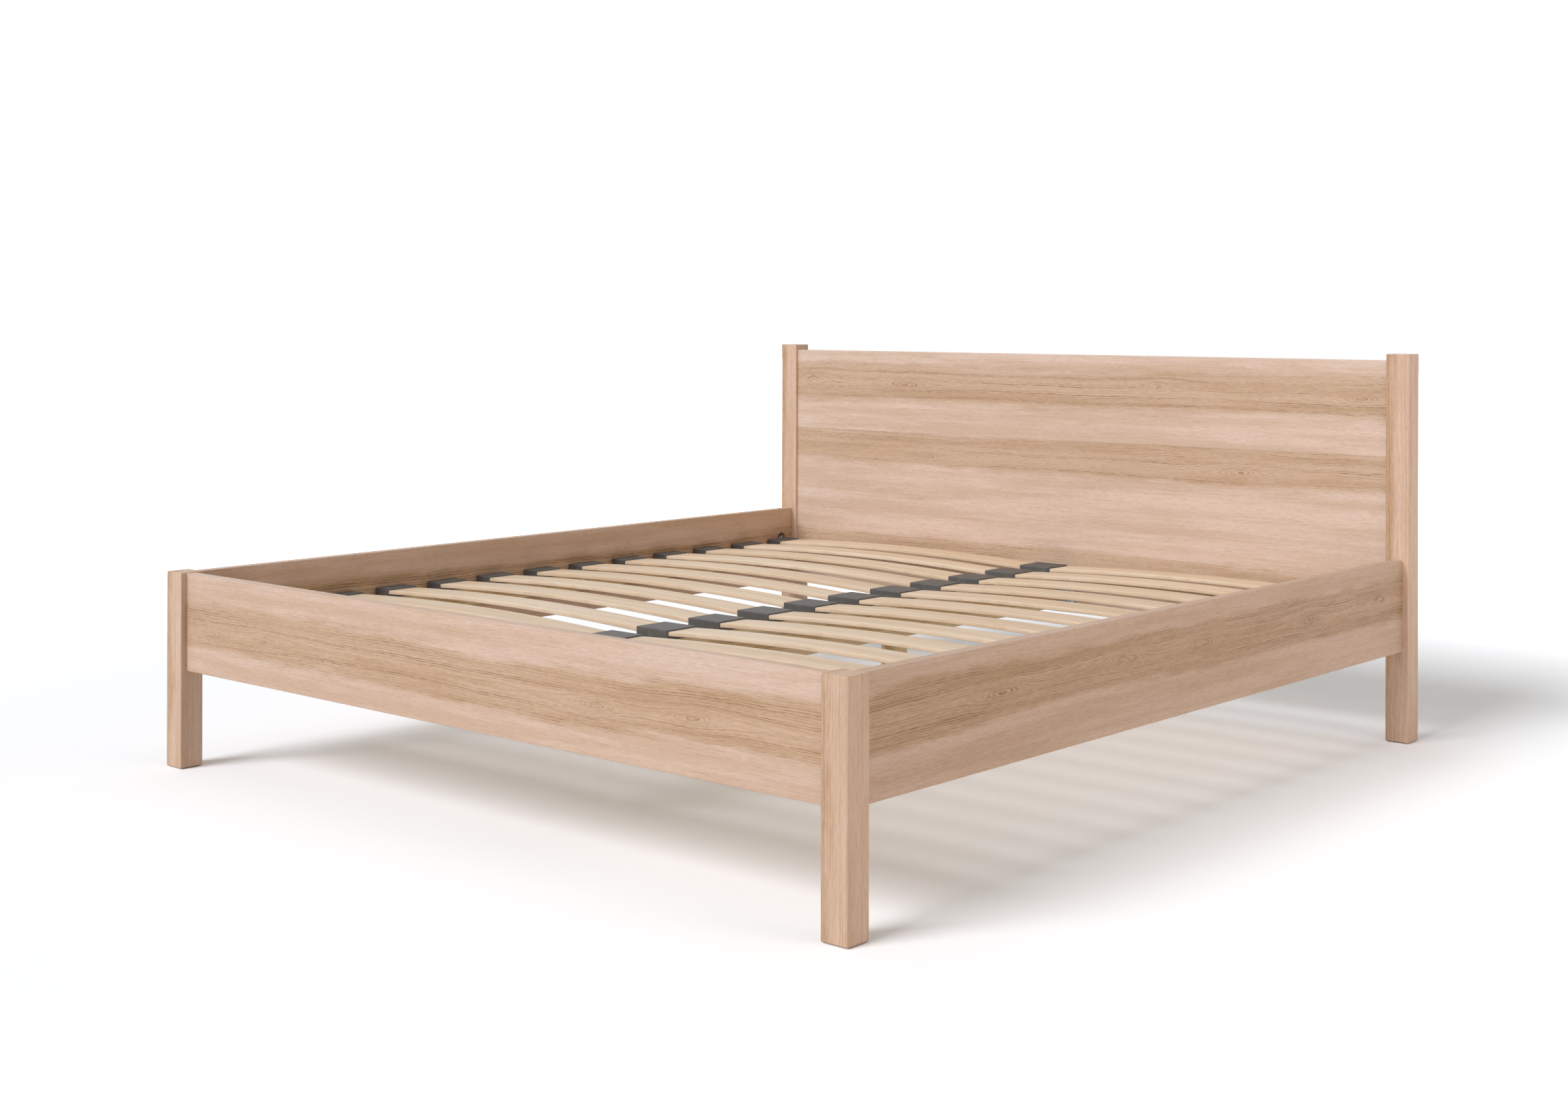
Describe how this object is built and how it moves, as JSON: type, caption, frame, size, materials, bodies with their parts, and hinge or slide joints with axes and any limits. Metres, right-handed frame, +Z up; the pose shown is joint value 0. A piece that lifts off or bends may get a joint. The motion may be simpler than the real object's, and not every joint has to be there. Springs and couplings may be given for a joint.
{
  "type": "bed frame",
  "caption": "Wooden double bed frame: square legs, plank rails set back between them, plank headboard, sprung slats on ledgers and a centre beam with levelling feet",
  "frame": {"origin": "on the floor, under the middle of the bed's outer box", "axes": "+X to the right seen from the foot end, +Y from the foot to the head, +Z up"},
  "size_m": [1.9, 2.1, 0.896],
  "materials": {
    "frame_wood": "pale solid wood, oiled, matte, with a darker heart band",
    "support_wood": "planed pale softwood, unfinished",
    "slat_wood": "laminated pale wood, lightly sealed",
    "dowel_wood": "plain wood",
    "cap_rubber": "moulded, fine matte grain",
    "foot_plastic": "moulded, matte",
    "sheet_steel": "zinc-plated sheet",
    "zinc_steel": "zinc-plated fasteners"
  },
  "bodies": {
    "frame": {"beam_hanger_foot": "sheet_steel", "beam_hanger_head": "sheet_steel", "centre_beam": "support_wood", "centre_leg_foot": "support_wood", "centre_leg_head": "support_wood", "foot_rail": "frame_wood", "half_moon_washers": "zinc_steel", "hanger_screws": "zinc_steel", "headboard_board_bottom": "frame_wood", "headboard_board_middle": "frame_wood", "headboard_board_top": "frame_wood", "joint_dowels": "dowel_wood", "joint_studs": "zinc_steel", "ledger_left": "support_wood", "ledger_right": "support_wood", "ledger_screws": "zinc_steel", "leg_foot_left": "frame_wood", "leg_foot_right": "frame_wood", "leg_glides": "foot_plastic", "levelling_bushes": "zinc_steel", "post_head_left": "frame_wood", "post_head_right": "frame_wood", "side_rail_left": "frame_wood", "side_rail_right": "frame_wood", "slat_caps_centre": "cap_rubber", "slat_caps_left": "cap_rubber", "slat_caps_right": "cap_rubber", "slat_left_01": "slat_wood", "slat_left_02": "slat_wood", "slat_left_03": "slat_wood", "slat_left_04": "slat_wood", "slat_left_05": "slat_wood", "slat_left_06": "slat_wood", "slat_left_07": "slat_wood", "slat_left_08": "slat_wood", "slat_left_09": "slat_wood", "slat_left_10": "slat_wood", "slat_left_11": "slat_wood", "slat_left_12": "slat_wood", "slat_left_13": "slat_wood", "slat_right_01": "slat_wood", "slat_right_02": "slat_wood", "slat_right_03": "slat_wood", "slat_right_04": "slat_wood", "slat_right_05": "slat_wood", "slat_right_06": "slat_wood", "slat_right_07": "slat_wood", "slat_right_08": "slat_wood", "slat_right_09": "slat_wood", "slat_right_10": "slat_wood", "slat_right_11": "slat_wood", "slat_right_12": "slat_wood", "slat_right_13": "slat_wood", "stud_inserts": "zinc_steel", "stud_nuts": "zinc_steel"},
    "foot_pad": {"levelling_pad_foot": "foot_plastic"},
    "foot_spindle": {"levelling_spindle_foot": "zinc_steel"},
    "head_pad": {"levelling_pad_head": "foot_plastic"},
    "head_spindle": {"levelling_spindle_head": "zinc_steel"}
  },
  "joints": [
    {"name": "foot_pad_slide", "type": "slide", "parent": "frame", "child": "foot_pad", "axis": [0, 0, 1], "range_m": [0, 0.012]},
    {"name": "foot_spindle_turn", "type": "hinge", "parent": "foot_pad", "child": "foot_spindle", "pos_m": [0, -0.3, 0.0123], "axis": [0, 0, 1], "range_deg": [0, 2880]},
    {"name": "head_pad_slide", "type": "slide", "parent": "frame", "child": "head_pad", "axis": [0, 0, 1], "range_m": [0, 0.012]},
    {"name": "head_spindle_turn", "type": "hinge", "parent": "head_pad", "child": "head_spindle", "pos_m": [0, 0.3, 0.0123], "axis": [0, 0, 1], "range_deg": [0, 2880]}
  ],
  "couplings": [
    {"joint": "foot_spindle_turn", "follows": "foot_pad_slide", "rad_per_m": 4188.8},
    {"joint": "head_spindle_turn", "follows": "head_pad_slide", "rad_per_m": 4188.8}
  ]
}
